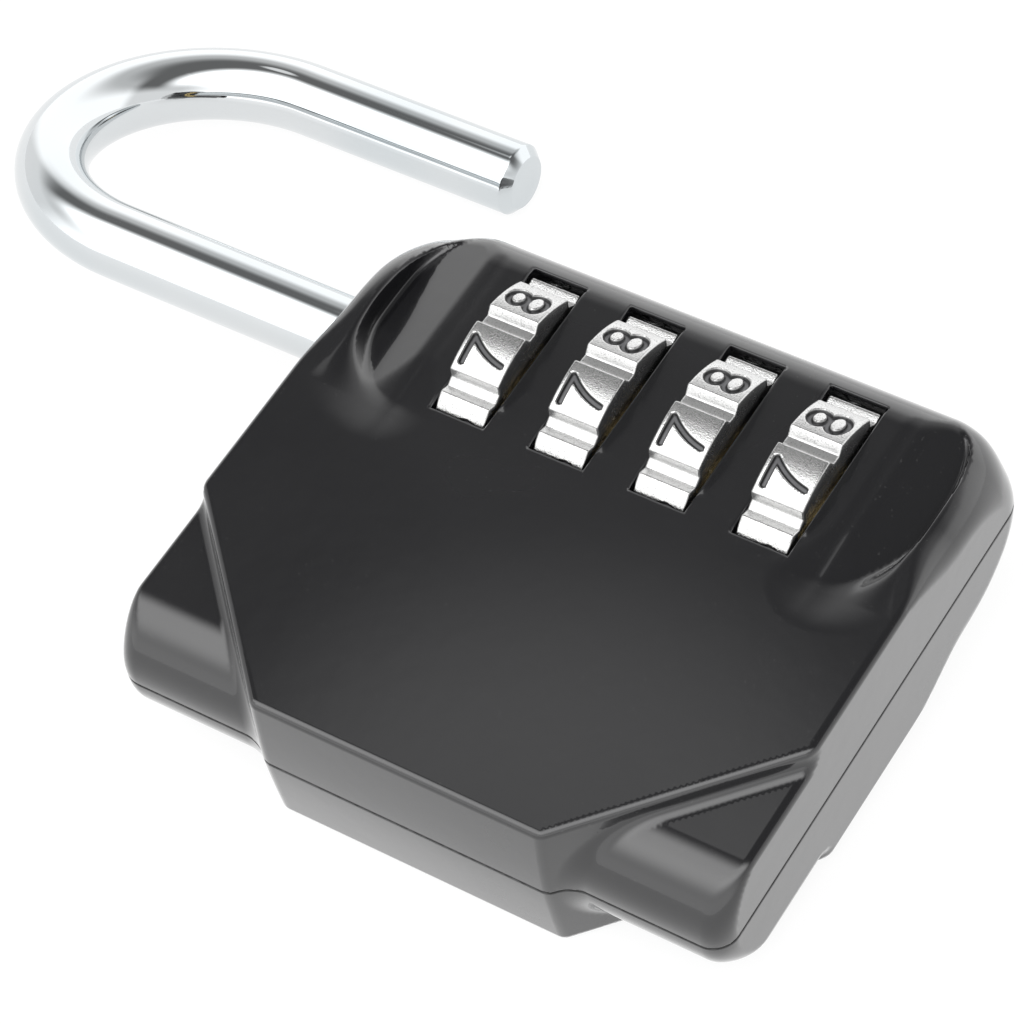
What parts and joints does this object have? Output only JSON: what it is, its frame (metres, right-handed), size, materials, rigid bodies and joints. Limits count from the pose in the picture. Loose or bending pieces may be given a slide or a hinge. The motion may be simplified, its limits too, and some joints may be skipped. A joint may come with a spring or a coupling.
{
  "type": "combination padlock",
  "caption": "Flat black combination padlock with a row of numbered dials on the axis of its U-shaped chrome shackle, shown unlocked with the shackle lifted and swung out.",
  "frame": {"origin": "where the dial axis meets the bottom end face, at mid-thickness", "axes": "+X right across the front, +Y along the dial axis towards the shackle, +Z out of the front"},
  "size_m": [0.0674, 0.0972, 0.023],
  "materials": {
    "casing": "gloss black lacquer on cast zinc",
    "shackle": "polished chrome plate",
    "dials": "nickel-plated casting, satin with fine grain, digits engraved and filled black",
    "hubs": "turned brass",
    "bush": "turned brass",
    "steel": "zinc-plated steel",
    "spring": "spring steel"
  },
  "bodies": {
    "casing": {"front_shell": "casing", "rear_shell": "casing", "assembly_pins": "steel", "leg_bush": "bush", "guide_post": "steel", "lift_spring": "spring", "click_spring_1": "spring", "click_spring_2": "spring", "click_spring_3": "spring", "click_spring_4": "spring"},
    "rod": {"locking_rod": "steel"},
    "shackle": {"shackle": "shackle", "swivel_pin": "steel"},
    "dial_1": {"dial_1": "dials", "hub_1": "hubs"},
    "dial_2": {"dial_2": "dials", "hub_2": "hubs"},
    "dial_3": {"dial_3": "dials", "hub_3": "hubs"},
    "dial_4": {"dial_4": "dials", "hub_4": "hubs"}
  },
  "joints": [
    {"name": "shackle_lift", "type": "slide", "parent": "casing", "child": "rod", "axis": [0, 1, 0], "range_m": [-0.009, 0], "stiffness_N_per_m": 450, "springref_m": 0.004, "deforming": ["lift_spring"]},
    {"name": "shackle_swing", "type": "hinge", "parent": "rod", "child": "shackle", "pos_m": [0, 0.0498, 0], "axis": [0, 1, 0], "range_deg": [-200, 160]},
    {"name": "dial_1_turn", "type": "hinge", "parent": "casing", "child": "dial_1", "pos_m": [0, 0.0398, 0], "axis": [0, 1, 0], "continuous": true, "deforming": ["click_spring_1"]},
    {"name": "dial_2_turn", "type": "hinge", "parent": "casing", "child": "dial_2", "pos_m": [0, 0.0308, 0], "axis": [0, 1, 0], "continuous": true, "deforming": ["click_spring_2"]},
    {"name": "dial_3_turn", "type": "hinge", "parent": "casing", "child": "dial_3", "pos_m": [0, 0.0218, 0], "axis": [0, 1, 0], "continuous": true, "deforming": ["click_spring_3"]},
    {"name": "dial_4_turn", "type": "hinge", "parent": "casing", "child": "dial_4", "pos_m": [0, 0.0128, 0], "axis": [0, 1, 0], "continuous": true, "deforming": ["click_spring_4"]}
  ]
}
